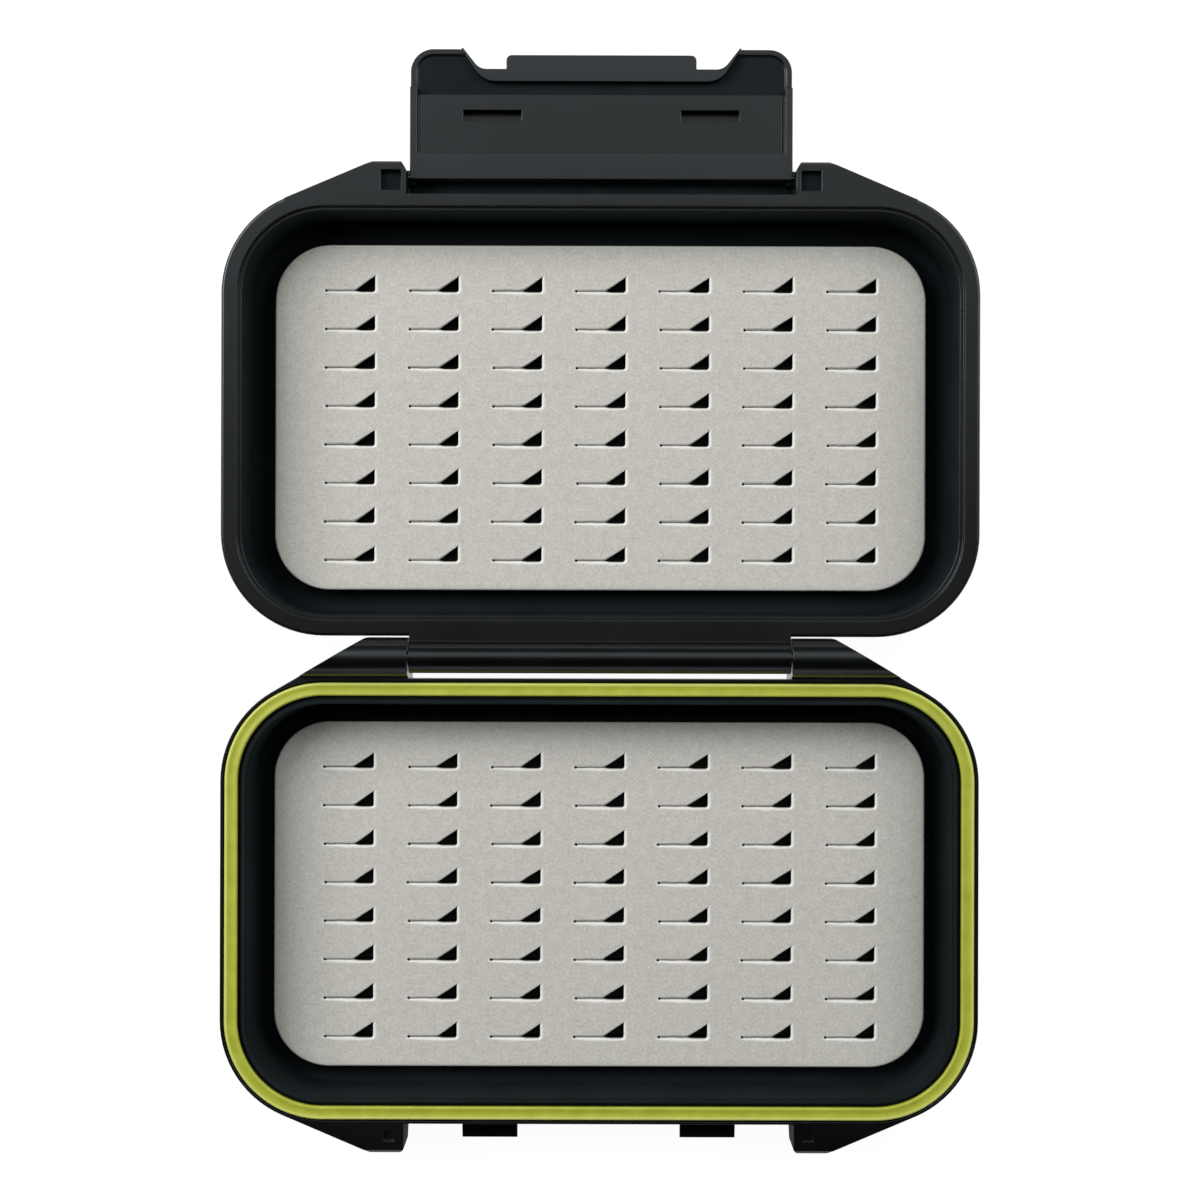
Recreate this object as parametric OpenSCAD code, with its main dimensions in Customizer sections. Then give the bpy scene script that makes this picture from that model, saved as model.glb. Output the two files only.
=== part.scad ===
// Pocket fly box: two shells on a rear pin hinge, a front latch plate, a rim seal and two slit foam pads.
// It lies open flat, as when the flies are chosen. X runs across, +Y from the base to the lid, +Z up.
// The origin is the middle of the base's underside, and all sizes are millimetres.

/* [Shells] */
// Width of each shell over the rim
body_w = 125; // [110:1:140]
// Depth of each shell over the rim, from the hinge side to the latch side
body_d = 73.4; // [66:0.2:84]
// Height of each shell, from its outer face to the parting plane
half_h = 17.5; // [16:0.5:22]
// Radius of the shells' corners, seen from above
corner_r = 17; // [14.5:0.5:20]
// Thickness of the large flat face of each shell
floor_t = 1.8; // [1.4:0.1:2.4]
// Height of the rim band that stands out round each shell
band_h = 5; // [4:0.5:6]
// How far the rim band stands out from the wall below it
band_out = 1.3; // [0.8:0.1:1.6]
// Radius of the long outer edge between wall and flat face
edge_r = 4.5; // [3:0.5:6]
// Radius of the inner edge between wall and flat face
floor_r = 2.4; // [1.5:0.1:3]
// How much closer the inner walls stand at the floor than at the rim
wall_draft = 0.5; // [0.2:0.1:0.8]
// Rounding of the rim's outer edge
rim_round = 0.5; // [0.2:0.1:0.8]
// Width of the line sunk round the flat outer face
panel_line_w = 0.9; // [0.6:0.1:1.4]
// Depth of that line
panel_line_t = 0.35; // [0.2:0.05:0.6]
// Distance of that line from the outline
panel_inset = 10; // [8:0.5:13]

/* [Lid rim] */
// Width of the lid's flat rim, which presses on the seal
rim_flat = 2.6; // [2.4:0.1:3]
// Width of the small ledge inside the flat rim
ledge_w = 0.6; // [0.4:0.1:0.8]
// Depth of that ledge below the rim
ledge_drop = 1.2; // [0.8:0.1:2]

/* [Seal] */
// Width of the black lip outside the seal
outer_lip_w = 0.5; // [0.4:0.1:0.8]
// Width of the rubber seal
seal_w = 2.4; // [2.2:0.1:3]
// Height of the rubber seal
seal_h = 1.7; // [1.4:0.1:2.4]
// Open slit between the seal and the inner lip
seal_slit = 0.6; // [0.3:0.05:0.8]
// Width of the lip inside the seal
inner_lip_w = 0.7; // [0.6:0.1:1]
// Clearance between the seal and the closed lid's rim
seal_clear = 0.3; // [0.25:0.05:0.4]
// How far the outer lip stays below the seal's top
outer_lip_drop = 0.35; // [0.2:0.05:0.6]
// How far the inner lip stays below the seal's top
inner_lip_drop = 0.2; // [0.1:0.05:0.4]
// Width of the channel along the seal's top
seal_channel_w = 0.8; // [0.6:0.1:1]
// Depth of that channel
seal_channel_t = 0.3; // [0.2:0.05:0.5]

/* [Foam] */
// Free width between the base's inner wall and the foam pad
pad_margin = 3.4; // [2.8:0.1:5]
// Thickness of each foam pad
pad_t = 4.2; // [3:0.1:6]
// Thickness of the adhesive sheet under each pad
tape_t = 0.3; // [0.2:0.05:0.5]
// Distance from one slit to the next across the box
slit_pitch_x = 14.1; // [12:0.1:17]
// Distance from one row of slits to the next
slit_pitch_y = 6.5; // [5.5:0.1:8]
// Whole length of a slit with its opening
slit_l = 8.4; // [7:0.1:10]
// Length of the triangular opening at the slit's right end
notch_l = 3.3; // [2.5:0.1:4]
// Height of the triangular opening
notch_h = 2.6; // [1.8:0.1:3]
// Width of the knife cut
slit_w = 0.2; // [0.15:0.05:0.4]
// Least distance from a slit to the pad's side edge
slit_side = 8; // [5:0.5:12]
// Least distance from a slit to the pad's front or back edge
slit_end = 4.9; // [3:0.1:8]

/* [Hinge] */
// Distance of the hinge axis behind the shells' rear walls
hinge_off = 3.5; // [3.4:0.1:4.2]
// Radius of the base's hinge knuckles
knuckle_r = 3.2; // [2.7:0.1:3.2]
// Radius of the lid's long hinge barrel
barrel_r = 2.6; // [2:0.1:2.7]
// Length of the lid's hinge barrel
barrel_l = 62.8; // [54:0.2:66]
// Gap between the barrel and each knuckle
barrel_gap = 0.2; // [0.2:0.05:0.5]
// Width of the flat back of each knuckle
knuckle_w = 7; // [5:0.5:9]
// Radius of the steel hinge pin
pin_r = 1; // [0.8:0.1:1.2]
// Radial clearance of the pin in the lid's barrel
pin_run = 0.06; // [0.03:0.01:0.09]
// Radial clearance of the pin in the base's knuckles
pin_seat = 0.02; // [0.01:0.01:0.04]
// How deep the pin sits in the blind knuckle
pin_grip = 5; // [4:0.5:6.5]
// How far the pin's other end stays inside its open knuckle's flat back
pin_inset = 1; // [0.5:0.5:2]

/* [Latch] */
// Width of the latch plate
latch_w = 63.5; // [54:0.5:66]
// Gap between the latch plate and the lugs on each side of it
latch_gap = 0.4; // [0.3:0.05:0.6]
// Distance of the latch pivot outside the front wall
pivot_out = 2; // [1.8:0.1:2.2]
// Distance of the latch pivot from the parting plane
pivot_drop = 5; // [4.5:0.1:5.5]
// How far the closed latch's tip stays above the base's underside
tip_clear = 0.2; // [0.1:0.1:1]
// Radius of the two trunnions moulded on the latch
trunnion_r = 1; // [0.8:0.1:1.1]
// Radial clearance of the trunnions in the lugs
trunnion_run = 0.05; // [0.03:0.01:0.09]
// How far each trunnion reaches into its lug beyond the web
trunnion_end = 1.2; // [0.8:0.1:2]
// Distance of the closed latch's outer face from the front wall
face_out = 4.2; // [4:0.1:4.6]
// How far outside the pivot the heel band's back stands
heel_out = 0; // [0:0.1:0.5]
// Rounding of the heel band's upper back edge
heel_r = 0.5; // [0.3:0.1:0.8]
// Length of the root of each trunnion inside the latch
trunnion_root = 1; // [0.5:0.5:3]
// Thickness of the thin foot behind the pivot, which stops the opened latch
foot_t = 0.6; // [0.5:0.1:1]
// Height of the heel band and side ribs above the pivot
band_top = 1.5; // [1.3:0.1:1.6]
// How far the main panel lies below the heel band
panel_drop = 0.5; // [0.3:0.1:0.7]
// How far the tip's lip lies below the heel band
lip_drop = 0.7; // [0.4:0.1:1]
// Thickness of the outer skin, which the two ears consist of
skin_t = 1.5; // [1.2:0.1:1.6]
// Length of the heel band from the pivot
heel_l = 4.8; // [4:0.1:5.5]
// Length from the pivot to the end of the main panel
panel_l = 14.5; // [13.5:0.1:15.5]
// Width of the side ribs
rib_w = 1.2; // [0.8:0.1:1.4]
// Width of the groove between the main panel and each rib
rib_groove_w = 0.5; // [0.3:0.1:0.8]
// Depth of that groove below the main panel
rib_groove_t = 0.5; // [0.3:0.1:0.8]
// Width of the low rim round the ears' edges
ear_rim_w = 1.2; // [1:0.1:2]
// Height of that rim above the ears
ear_rim_t = 0.3; // [0.2:0.1:0.6]
// How far the tip's middle tab stays short of the ears
tab_short = 1.2; // [0.8:0.1:2]
// Half width of the middle tab
tab_half = 15.8; // [12:0.2:17]
// Rounding of the tab's corners
tab_r = 0.9; // [0.4:0.1:1.2]
// How deep the finger scoops go below the ears
scoop_deep = 3.5; // [2.5:0.1:3.9]
// Half width of the scoops' flat floor
scoop_x = 19.1; // [18:0.1:20]
// Fillet between that floor and the scoops' flanks
scoop_r = 2.4; // [1.5:0.1:3]
// Steepness of the flanks in degrees
scoop_flank = 52; // [45:1:60]
// Width of the raised lip along the scoops' floor
lip_w = 2.1; // [1.6:0.1:2.5]
// Width that the lip has left at the top of the ears
lip_end = 0.3; // [0.2:0.1:0.6]
// Fillet on the lip's inner side
lip_r = 4; // [3:0.1:5]
// Steepness of the lip's inner flank in degrees
lip_flank = 58; // [50:1:65]
// Radius of the ears' outer corners
ear_r = 3.8; // [2.5:0.1:4.5]

/* [Catch] */
// Distance of each catch hook from the middle
hook_x = 18.1; // [14:0.1:22]
// Width of each catch hook
hook_w = 9.2; // [6:0.2:11]
// Thickness of each hook at the wall
hook_t = 1.2; // [1:0.1:1.5]
// How far the hooks stand out from the front wall
hook_out = 3.2; // [2.4:0.1:3.4]
// Distance of the hooks from the closed latch's pivot
hook_reach = 11; // [10:0.1:12]
// Clearance of a hook in the latch's slot
slot_clear = 0.25; // [0.2:0.05:0.3]

/* [Lugs] */
// How far the front lugs stand out from the front wall
lug_out = 4.8; // [4.4:0.1:5.2]
// Width of the lugs' flat front
lug_w = 5.5; // [5.5:0.5:8]
// Chamfer of the lid lugs' inner corners, across the box
lead_x = 0.8; // [0.6:0.1:1.4]
// The same chamfer along the box
lead_y = 1.3; // [1:0.1:2.4]
// Wall between a lug's pocket and the latch
web_t = 0.8; // [0.8:0.1:1.3]
// Side of the square pocket in each lid lug
pocket_w = 3.3; // [2.8:0.1:3.4]
// Depth of that pocket below the parting plane
pocket_deep = 1.5; // [1:0.1:2.5]
// How far the lid lugs' toes reach in below the latch
lug_toe = 1.2; // [0.8:0.1:1.6]
// How far the lid's rim is cut back behind the latch
bay_cut = 0.6; // [0.6:0.1:1]
// Gap between the open latch's foot and the wall that stops it
stop_gap = 0.1; // [0.05:0.05:0.3]
// Radius of the moulding gate's stub in the middle of that wall
gate_r = 0.6; // [0.4:0.1:0.8]
// How far that stub stands out from the wall
gate_out = 0.5; // [0.3:0.1:0.5]
// Height of the lugs' vertical front, measured down from the parting plane
lug_h = 11; // [9.5:0.5:12]
// Height at which the lugs' sloped undersides meet the wall
lug_foot = 2; // [1:0.5:3]
// Side of the small square dimple on each base lug
dimple_w = 1.6; // [1:0.1:2]
// Depth of that dimple
dimple_t = 0.5; // [0.3:0.1:1]

/* [Hidden] */

// Colours of the finished pieces
black_abs = "#202325";
lime_rubber = "#B3BE46";
grey_foam = "#BCB8B2";
black_film = "#17181A";
steel = "#B9BCC0";

// Fineness of large corners, of small round shapes and of the rounded edges
corner_fn = 96;
round_fn = 48;
edge_steps = 8;
rim_steps = 3;
// Overlap that makes a cut or a joined solid run past a face
over = 1;

// Shared places
front_y = -body_d / 2;
hinge_y = body_d / 2 + hinge_off;
lid_y = 2 * hinge_y;
parting_z = half_h;

// The base's rim, from the outline inwards
groove_in = outer_lip_w;
groove_end = groove_in + seal_w + seal_slit;
base_wall = groove_end + inner_lip_w;
seal_top = parting_z - seal_clear;
groove_z = seal_top - seal_h;
outer_lip_z = seal_top - outer_lip_drop;
inner_lip_z = seal_top - inner_lip_drop;

// The lid's rim
lid_wall = rim_flat + ledge_w;

// Foam pads
pad_w = body_w - 2 * (base_wall + pad_margin);
pad_d = body_d - 2 * (base_wall + pad_margin);
pad_r = corner_r - base_wall - pad_margin;
pad_z = floor_t + tape_t;
slit_cols = floor((pad_w - 2 * slit_side - slit_l) / slit_pitch_x) + 1;
slit_rows = floor((pad_d - 2 * slit_end - notch_h) / slit_pitch_y) + 1;

// Hinge
knuckle_x = barrel_l / 2 + barrel_gap;
knuckle_back = hinge_off + knuckle_r;
knuckle_foot = 4;
blind_end = knuckle_x + pin_grip;
open_end = knuckle_x + knuckle_w - pin_inset;

// Latch, in its own frame: the pivot is the origin, +Y its reach, +Z its inner face
lug_x = latch_w / 2 + latch_gap;
pivot_y = lid_y - front_y + pivot_out;
pivot_z = parting_z - pivot_drop;
bay_floor = pivot_z - pivot_drop;
latch_reach = half_h + pivot_drop - tip_clear;
skin_low = pivot_out - face_out;
skin_top = skin_low + skin_t;
panel_top = band_top - panel_drop;
lip_top = band_top - lip_drop;
foot_back = pivot_out + bay_cut - stop_gap;
scoop_floor = latch_reach - scoop_deep;
lip_floor = scoop_floor - lip_w;
lip_x = flank_x(scoop_x, scoop_r, scoop_flank, scoop_deep) + lip_end
    - flank_x(0, lip_r, lip_flank, scoop_deep + lip_w);
tab_reach = latch_reach - tab_short;
rib_l = panel_l + rib_w;
slot_floor = pivot_out - hook_out - slot_clear;

// Catch hooks on the base, which the closed latch's slots take in
hook_z = parting_z + pivot_drop - hook_reach;
hook_nose = 0.6;

// The flat outer shape of a shell, as [inset from the outline, height] from the face up
function shell_edge() = [
    for (i = [0:edge_steps])
        let (a = 90 * i / edge_steps)
            [band_out + edge_r * (1 - sin(a)), edge_r * (1 - cos(a))]
];

function shell_outline(top, round) = concat(
    shell_edge(),
    [[band_out, parting_z - band_h - band_out], [0, parting_z - band_h]],
    [
        for (i = [0:rim_steps])
            let (a = 90 * i / rim_steps)
                [round * (1 - cos(a)), top - round * (1 - sin(a))]
    ]
);

// The hollow of a shell, as [inset from the outline, height] from the floor up
function hollow_outline(wall) = concat(
    [
        for (i = [0:edge_steps])
            let (a = 90 * i / edge_steps)
                [wall + wall_draft + floor_r * (1 - sin(a)), floor_t + floor_r * (1 - cos(a))]
    ],
    [[wall, parting_z + over]]
);

// Where the line from a point touches a circle of radius r round the origin, on its right-hand side
function touch_point(p, r) =
    let (a = atan2(p[1], p[0]) - acos(r / norm(p)))
        [r * cos(a), r * sin(a)];

// How far out a flank reaches that leaves a floor at x with a fillet r, at height h above that floor
function flank_x(x, r, a, h) = x + r * sin(a) + (h - r * (1 - cos(a))) / tan(a);

// The points of that flank, from the floor at height y up to the given top
function flank_side(x, y, r, a, top) = concat(
    [for (i = [0:edge_steps]) let (t = a * i / edge_steps) [x + r * sin(t), y + r * (1 - cos(t))]],
    [[flank_x(x, r, a, top - y), top]]
);

module rounded_rect(w, d, r) {
    square([w - 2 * r, d], center = true);
    square([w, d - 2 * r], center = true);
    for (sx = [-1, 1], sy = [-1, 1])
        translate([sx * (w / 2 - r), sy * (d / 2 - r)])
            circle(r, $fn = corner_fn);
}

// A block with round corners whose sides follow a list of [inset, height]
module loaf(w, d, r, side) {
    low = side[0][1];
    high = side[len(side) - 1][1];
    for (sx = [-1, 1], sy = [-1, 1])
        translate([sx * (w / 2 - r), sy * (d / 2 - r), 0])
            rotate_extrude($fn = corner_fn)
                polygon(concat([[0, low]], [for (p = side) [r - p[0], p[1]]], [[0, high]]));
    rotate([90, 0, 0])
        linear_extrude(d - 2 * r, center = true)
            bar_section(w, side);
    rotate([90, 0, 90])
        linear_extrude(w - 2 * r, center = true)
            bar_section(d, side);
}

module bar_section(w, side) {
    last = len(side) - 1;
    polygon(concat(
        [for (p = side) [w / 2 - p[0], p[1]]],
        [for (i = [last:-1:0]) [side[i][0] - w / 2, side[i][1]]]
    ));
}

// An upright ring between two insets from the outline
module rim_ring(outer, inner, z0, z1) {
    translate([0, 0, z0])
        linear_extrude(z1 - z0)
            difference() {
                rounded_rect(body_w - 2 * outer, body_d - 2 * outer, corner_r - outer);
                rounded_rect(body_w - 2 * inner, body_d - 2 * inner, corner_r - inner);
            }
}

module both_sides() {
    children();
    mirror([1, 0, 0])
        children();
}

module panel_line() {
    rim_ring(panel_inset, panel_inset + panel_line_w, -over, panel_line_t);
}

// A lug on the +Y wall of a shell: flat from x0 to x1, with a flank that runs into the round corner.
// The children are its side section, drawn in [distance from the wall, height].
module wall_lug(x0, x1, out, lead = [0, 0]) {
    centre = [body_w / 2 - corner_r, -corner_r];
    meet = centre + touch_point([x1, out] - centre, corner_r);
    translate([0, body_d / 2, 0])
        intersection() {
            linear_extrude(parting_z + knuckle_r + over)
                polygon([
                    [x0, -corner_r], [x0, out - lead[1]], [x0 + lead[0], out],
                    [x1, out], meet, centre
                ]);
            rotate([90, 0, 90])
                linear_extrude(body_w)
                    children();
        }
}

module front_lug_section(top) {
    polygon([
        [-corner_r, top], [lug_out - rim_round, top], [lug_out, top - rim_round],
        [lug_out, parting_z - lug_h], [-band_out, lug_foot], [-corner_r, lug_foot]
    ]);
}

module knuckle_section() {
    translate([hinge_off, parting_z])
        circle(knuckle_r, $fn = round_fn);
    polygon([
        [-corner_r, outer_lip_z], [hinge_off, outer_lip_z], [hinge_off, parting_z],
        [knuckle_back, parting_z], [knuckle_back, parting_z - lug_h + knuckle_r],
        [-band_out, knuckle_foot], [-corner_r, knuckle_foot]
    ]);
}

// A bar along X, from x0 to x1, on the line at y and z
module cross_bar(x0, x1, y, z, r) {
    translate([x0, y, z])
        rotate([0, 90, 0])
            cylinder(h = x1 - x0, r = r, $fn = round_fn);
}

module catch_hooks() {
    for (s = [-1, 1])
        translate([s * hook_x - hook_w / 2, front_y, hook_z])
            rotate([90, 0, 90])
                linear_extrude(hook_w)
                    polygon([
                        [base_wall / 2, -hook_t / 2], [-hook_out, -hook_t / 2],
                        [-hook_out, hook_t / 2 - hook_nose], [-band_out, hook_t / 2],
                        [base_wall / 2, hook_t / 2]
                    ]);
}

module lug_dimples() {
    translate([lug_x + dimple_w, front_y - pivot_out - dimple_w / 2, outer_lip_z - dimple_t])
        cube([dimple_w, dimple_w, dimple_t + over]);
}

module base_shell() {
    color(black_abs)
        difference() {
            union() {
                loaf(body_w, body_d, corner_r, shell_outline(outer_lip_z, 0));
                rim_ring(groove_end, base_wall, groove_z, inner_lip_z);
                both_sides() {
                    wall_lug(knuckle_x, knuckle_x + knuckle_w, knuckle_back)
                        knuckle_section();
                    mirror([0, 1, 0])
                        wall_lug(lug_x, lug_x + lug_w, lug_out, [rim_round, rim_round])
                            front_lug_section(outer_lip_z);
                }
                catch_hooks();
            }
            loaf(body_w, body_d, corner_r, hollow_outline(base_wall));
            rim_ring(groove_in, groove_end, groove_z, parting_z);
            panel_line();
            both_sides()
                lug_dimples();
            cross_bar(-body_w / 2, blind_end, hinge_y, parting_z, pin_r + pin_seat);
        }
}

module rim_gasket() {
    channel_in = groove_in + (seal_w - seal_channel_w) / 2;
    color(lime_rubber)
        difference() {
            rim_ring(groove_in, groove_in + seal_w, groove_z, seal_top);
            rim_ring(channel_in, channel_in + seal_channel_w, seal_top - seal_channel_t, seal_top + over);
        }
}

module hinge_pin() {
    color(steel)
        cross_bar(-open_end, blind_end - pin_seat, hinge_y, parting_z, pin_r);
}

// The lid's barrel and the web that carries it, in the base's frame
module hinge_barrel() {
    cross_bar(-barrel_l / 2, barrel_l / 2, hinge_y, parting_z, barrel_r);
    translate([-barrel_l / 2, hinge_y, 0])
        rotate([90, 0, 90])
            linear_extrude(barrel_l)
                polygon([
                    [0, parting_z], [hinge_off + lid_wall, parting_z],
                    [hinge_off + lid_wall, parting_z - band_h - barrel_r],
                    [hinge_off, parting_z - band_h - barrel_r], [0, parting_z - barrel_r]
                ]);
}

// The lid's wall behind the latch, which also stops the opened latch
module latch_bay() {
    bay_front = body_d / 2 - bay_cut;
    translate([-lug_x, bay_front, bay_floor])
        cube([2 * lug_x, lug_out + over, half_h]);
}

module bay_wall() {
    translate([-lug_x - over, body_d / 2 - lid_wall, edge_r])
        cube([2 * (lug_x + over), lid_wall - bay_cut, half_h - edge_r]);
}

// The stub left by the moulding gate, on the wall behind the latch
module gate_stub() {
    wall_y = body_d / 2 - bay_cut;
    translate([0, wall_y + gate_out - gate_r, pivot_z])
        cylinder(h = band_top + gate_r, r = gate_r, $fn = round_fn);
}

// The lid lugs' toes, which close the slots beside the latch from below, clear of its foot
module lug_toes() {
    intersection() {
        wall_lug(lug_x - lug_toe, lug_x + lug_toe, lug_out)
            front_lug_section(parting_z);
        cube([body_w, body_d, bay_floor]);
    }
}

module lug_pocket() {
    translate([lug_x + web_t, body_d / 2, parting_z - pocket_deep])
        cube([pocket_w, pocket_w, pocket_deep + over]);
    cross_bar(
        lug_x - over, lug_x + web_t + pocket_w / 2,
        body_d / 2 + pivot_out, pivot_z, trunnion_r + trunnion_run
    );
}

module lid_shell() {
    color(black_abs)
        difference() {
            union() {
                translate([0, lid_y, 0])
                    difference() {
                        union() {
                            loaf(body_w, body_d, corner_r, shell_outline(parting_z, rim_round));
                            both_sides() {
                                wall_lug(lug_x, lug_x + lug_w, lug_out, [lead_x, lead_y])
                                    front_lug_section(parting_z);
                                lug_toes();
                            }
                        }
                        latch_bay();
                    }
                translate([0, lid_y, 0]) {
                    bay_wall();
                    gate_stub();
                }
                hinge_barrel();
            }
            translate([0, lid_y, 0]) {
                loaf(body_w, body_d, corner_r, hollow_outline(lid_wall));
                rim_ring(rim_flat, lid_wall + over, parting_z - ledge_drop, parting_z + over);
                panel_line();
                both_sides()
                    lug_pocket();
            }
            cross_bar(-barrel_l, barrel_l, hinge_y, parting_z, pin_r + pin_run);
        }
}

// One slit: a knife cut that ends in a triangular opening. Its start is the origin.
module slit_shape() {
    translate([0, -slit_w / 2])
        square([slit_l, slit_w]);
    polygon([[slit_l - notch_l, 0], [slit_l, 0], [slit_l, notch_h]]);
}

module foam_pad() {
    color(grey_foam)
        translate([0, 0, pad_z])
            linear_extrude(pad_t)
                difference() {
                    rounded_rect(pad_w, pad_d, pad_r);
                    for (i = [0:slit_cols - 1], j = [0:slit_rows - 1])
                        translate([
                            (i - (slit_cols - 1) / 2) * slit_pitch_x - slit_l / 2,
                            (j - (slit_rows - 1) / 2) * slit_pitch_y - notch_h / 2
                        ])
                            slit_shape();
                }
}

module foam_tape() {
    color(black_film)
        translate([0, 0, floor_t])
            linear_extrude(tape_t)
                rounded_rect(pad_w, pad_d, pad_r);
}

// A hollow open towards the tip: a flat floor between two flanks
module tip_hollow(x, y, r, a) {
    side = flank_side(x, y, r, a, latch_reach + over);
    polygon(concat(side, [for (i = [len(side) - 1:-1:0]) [-side[i][0], side[i][1]]]));
}

// The latch's outline from above, in its own frame
module latch_outline() {
    difference() {
        union() {
            translate([-latch_w / 2, heel_out])
                square([latch_w, latch_reach - ear_r - heel_out]);
            translate([-latch_w / 2 + ear_r, heel_out])
                square([latch_w - 2 * ear_r, latch_reach - heel_out]);
            for (s = [-1, 1])
                translate([s * (latch_w / 2 - ear_r), latch_reach - ear_r])
                    circle(ear_r, $fn = round_fn);
        }
        tip_hollow(scoop_x, scoop_floor, scoop_r, scoop_flank);
    }
    translate([-tab_half, scoop_floor - tab_r])
        square([2 * tab_half, tab_reach - scoop_floor]);
    translate([-tab_half + tab_r, scoop_floor - tab_r])
        square([2 * (tab_half - tab_r), tab_reach - scoop_floor + tab_r]);
    for (s = [-1, 1])
        translate([s * (tab_half - tab_r), tab_reach - tab_r])
            circle(tab_r, $fn = round_fn);
}

// The raised lip, which follows the scoops and fills the tab
module lip_outline() {
    intersection() {
        latch_outline();
        tip_hollow(lip_x, lip_floor, lip_r, lip_flank);
    }
}

// The low rim round an ear's edges, which slopes down to the ear
function ear_rim_side() = [
    [0, skin_top + ear_rim_t], [ear_rim_w - ear_rim_t, skin_top + ear_rim_t],
    [ear_rim_w, skin_top], [ear_rim_w, skin_low], [0, skin_low]
];

module ear_rim() {
    half = latch_w / 2;
    side = ear_rim_side();
    translate([0, latch_reach - ear_r, 0])
        rotate([90, 0, 0])
            linear_extrude(latch_reach - ear_r - panel_l)
                polygon([for (p = side) [half - p[0], p[1]]]);
    intersection() {
        translate([scoop_x, 0, 0])
            rotate([90, 0, 90])
                linear_extrude(half - ear_r - scoop_x)
                    polygon([for (p = side) [latch_reach - p[0], p[1]]]);
        translate([0, 0, skin_low])
            linear_extrude(skin_t + ear_rim_t)
                latch_outline();
    }
    translate([half - ear_r, latch_reach - ear_r, 0])
        intersection() {
            rotate_extrude($fn = round_fn)
                polygon([for (p = side) [ear_r - p[0], p[1]]]);
            slab(0, ear_r, 0, ear_r, skin_low, skin_top + ear_rim_t);
        }
}

module slab(x0, x1, y0, y1, z0, z1) {
    translate([x0, y0, z0])
        cube([x1 - x0, y1 - y0, z1 - z0]);
}

// The heel band, whose upper back edge is round
module heel_band() {
    rotate([90, 0, 90])
        linear_extrude(latch_w, center = true) {
            translate([heel_out, skin_low])
                square([heel_l - heel_out, band_top - heel_r - skin_low]);
            translate([heel_out + heel_r, skin_low])
                square([heel_l - heel_out - heel_r, band_top - skin_low]);
            translate([heel_out + heel_r, band_top - heel_r])
                circle(heel_r, $fn = round_fn);
        }
}

module latch_body() {
    half = latch_w / 2;
    panel_half = half - rib_w - rib_groove_w;
    translate([0, 0, skin_low])
        linear_extrude(skin_t)
            latch_outline();
    translate([0, 0, skin_low])
        linear_extrude(lip_top - skin_low)
            lip_outline();
    slab(-half, half, -foot_back, heel_out + over, skin_low, skin_low + foot_t);
    slab(-panel_half, panel_half, heel_l - over, panel_l, skin_low, panel_top);
    slab(-half, half, heel_l - over, panel_l, skin_low, panel_top - rib_groove_t);
    heel_band();
    both_sides() {
        slab(half - rib_w, half, heel_l - over, rib_l, skin_low, band_top);
        ear_rim();
    }
}

module latch_slots() {
    slot_w = hook_w + 2 * slot_clear;
    slot_t = hook_t + 2 * slot_clear;
    for (s = [-1, 1])
        translate([s * hook_x - slot_w / 2, hook_reach - slot_t / 2, slot_floor])
            cube([slot_w, slot_t, band_top - slot_floor]);
}

module latch() {
    reach = lug_x + web_t + trunnion_end;
    color(black_abs)
        translate([0, pivot_y, pivot_z]) {
            difference() {
                latch_body();
                latch_slots();
            }
            both_sides()
                cross_bar(latch_w / 2 - trunnion_root, reach, 0, 0, trunnion_r);
        }
}

module base_foam() {
    foam_pad();
}

module base_foam_tape() {
    foam_tape();
}

module lid_foam() {
    translate([0, lid_y, 0])
        foam_pad();
}

module lid_foam_tape() {
    translate([0, lid_y, 0])
        foam_tape();
}

base_shell();
rim_gasket();
base_foam();
base_foam_tape();
hinge_pin();
lid_shell();
lid_foam();
lid_foam_tape();
latch();
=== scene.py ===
# %% [markdown]
# # A pocket fly box, laid open
#
# A fly box keeps hooked fishing flies apart. This one is two black ABS shells on a steel hinge pin, with a
# latch plate at the front, a lime rubber seal in the base's rim and a slit foam pad in each half.
#
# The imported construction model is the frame: it gives the real sizes, the joints and the bodies that move.
# This script dresses it. Blender works in metres, so every size below is in millimetres times `MM`.

# %% Load the construction model
import math

import bmesh
import bpy
import numpy as np
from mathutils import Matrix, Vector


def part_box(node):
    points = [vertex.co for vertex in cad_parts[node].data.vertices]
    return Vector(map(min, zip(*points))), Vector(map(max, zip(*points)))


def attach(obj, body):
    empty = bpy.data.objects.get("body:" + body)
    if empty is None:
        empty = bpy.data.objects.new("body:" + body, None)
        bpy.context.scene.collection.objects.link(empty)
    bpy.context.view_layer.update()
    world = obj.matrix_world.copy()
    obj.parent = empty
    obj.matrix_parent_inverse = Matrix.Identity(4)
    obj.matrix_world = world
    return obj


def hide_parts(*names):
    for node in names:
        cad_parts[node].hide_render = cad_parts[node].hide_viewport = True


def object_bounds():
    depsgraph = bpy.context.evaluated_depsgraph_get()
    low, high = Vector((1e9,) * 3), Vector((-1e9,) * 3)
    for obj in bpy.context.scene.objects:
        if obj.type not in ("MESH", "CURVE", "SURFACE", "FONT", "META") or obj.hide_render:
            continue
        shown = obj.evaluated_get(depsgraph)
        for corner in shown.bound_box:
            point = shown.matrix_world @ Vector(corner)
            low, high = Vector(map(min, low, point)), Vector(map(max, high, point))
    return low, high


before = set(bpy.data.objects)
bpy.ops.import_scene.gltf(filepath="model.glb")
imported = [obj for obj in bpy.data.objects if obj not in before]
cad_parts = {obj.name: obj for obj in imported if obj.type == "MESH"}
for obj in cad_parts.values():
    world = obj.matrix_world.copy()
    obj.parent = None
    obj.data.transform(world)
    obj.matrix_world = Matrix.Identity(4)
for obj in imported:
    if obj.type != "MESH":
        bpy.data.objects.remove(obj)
cad_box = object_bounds()
MM = 0.001
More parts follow.
